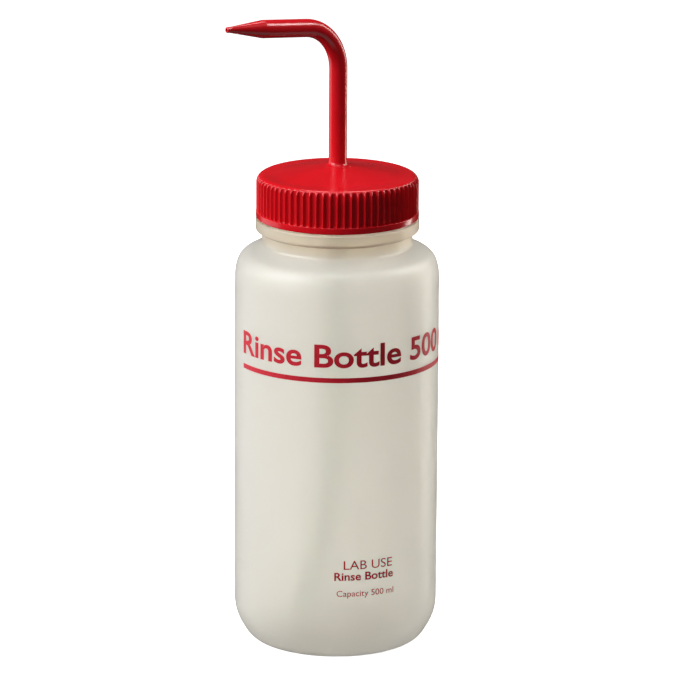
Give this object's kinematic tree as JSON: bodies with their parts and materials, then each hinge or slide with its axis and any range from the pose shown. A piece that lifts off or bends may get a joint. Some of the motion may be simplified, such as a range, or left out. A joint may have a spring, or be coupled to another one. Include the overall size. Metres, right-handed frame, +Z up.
{
  "type": "wash bottle",
  "caption": "Round wide-mouth squeeze bottle with a ribbed screw closure, a bent swivelling delivery nozzle on top and a draw tube reaching the base.",
  "frame": {"origin": "on the bottle's axis, in the plane of the base ring that the bottle stands on", "axes": "+Z up along the bottle's axis; the nozzle points towards -X at rest, in the XZ plane"},
  "size_m": [0.0874, 0.073, 0.2314],
  "materials": {
    "bottle_plastic": "natural translucent polyethylene, soft sheen",
    "cap_plastic": "moulded red polypropylene, glossy",
    "seal_foam": "soft white foamed polyethylene",
    "nozzle_plastic": "moulded red polypropylene, glossy",
    "tube_plastic": "natural translucent polyethylene tube"
  },
  "bodies": {
    "bottle": {"bottle": "bottle_plastic"},
    "seal": {"seal_liner": "seal_foam"},
    "closure": {"screw_cap": "cap_plastic"},
    "nozzle": {"nozzle_stem": "nozzle_plastic", "draw_tube": "tube_plastic"}
  },
  "joints": [
    {"name": "closure_lift", "type": "slide", "parent": "bottle", "child": "seal", "axis": [0, 0, 1], "range_m": [0, 0.0064]},
    {"name": "cap_turn", "type": "hinge", "parent": "seal", "child": "closure", "pos_m": [0, 0, 0.17], "axis": [0, 0, 1], "range_deg": [0, 540]},
    {"name": "nozzle_swivel", "type": "hinge", "parent": "closure", "child": "nozzle", "pos_m": [0, 0, 0.172], "axis": [0, 0, 1], "continuous": true}
  ],
  "couplings": [
    {"joint": "closure_lift", "follows": "cap_turn", "m_per_rad": 0.0006737}
  ]
}
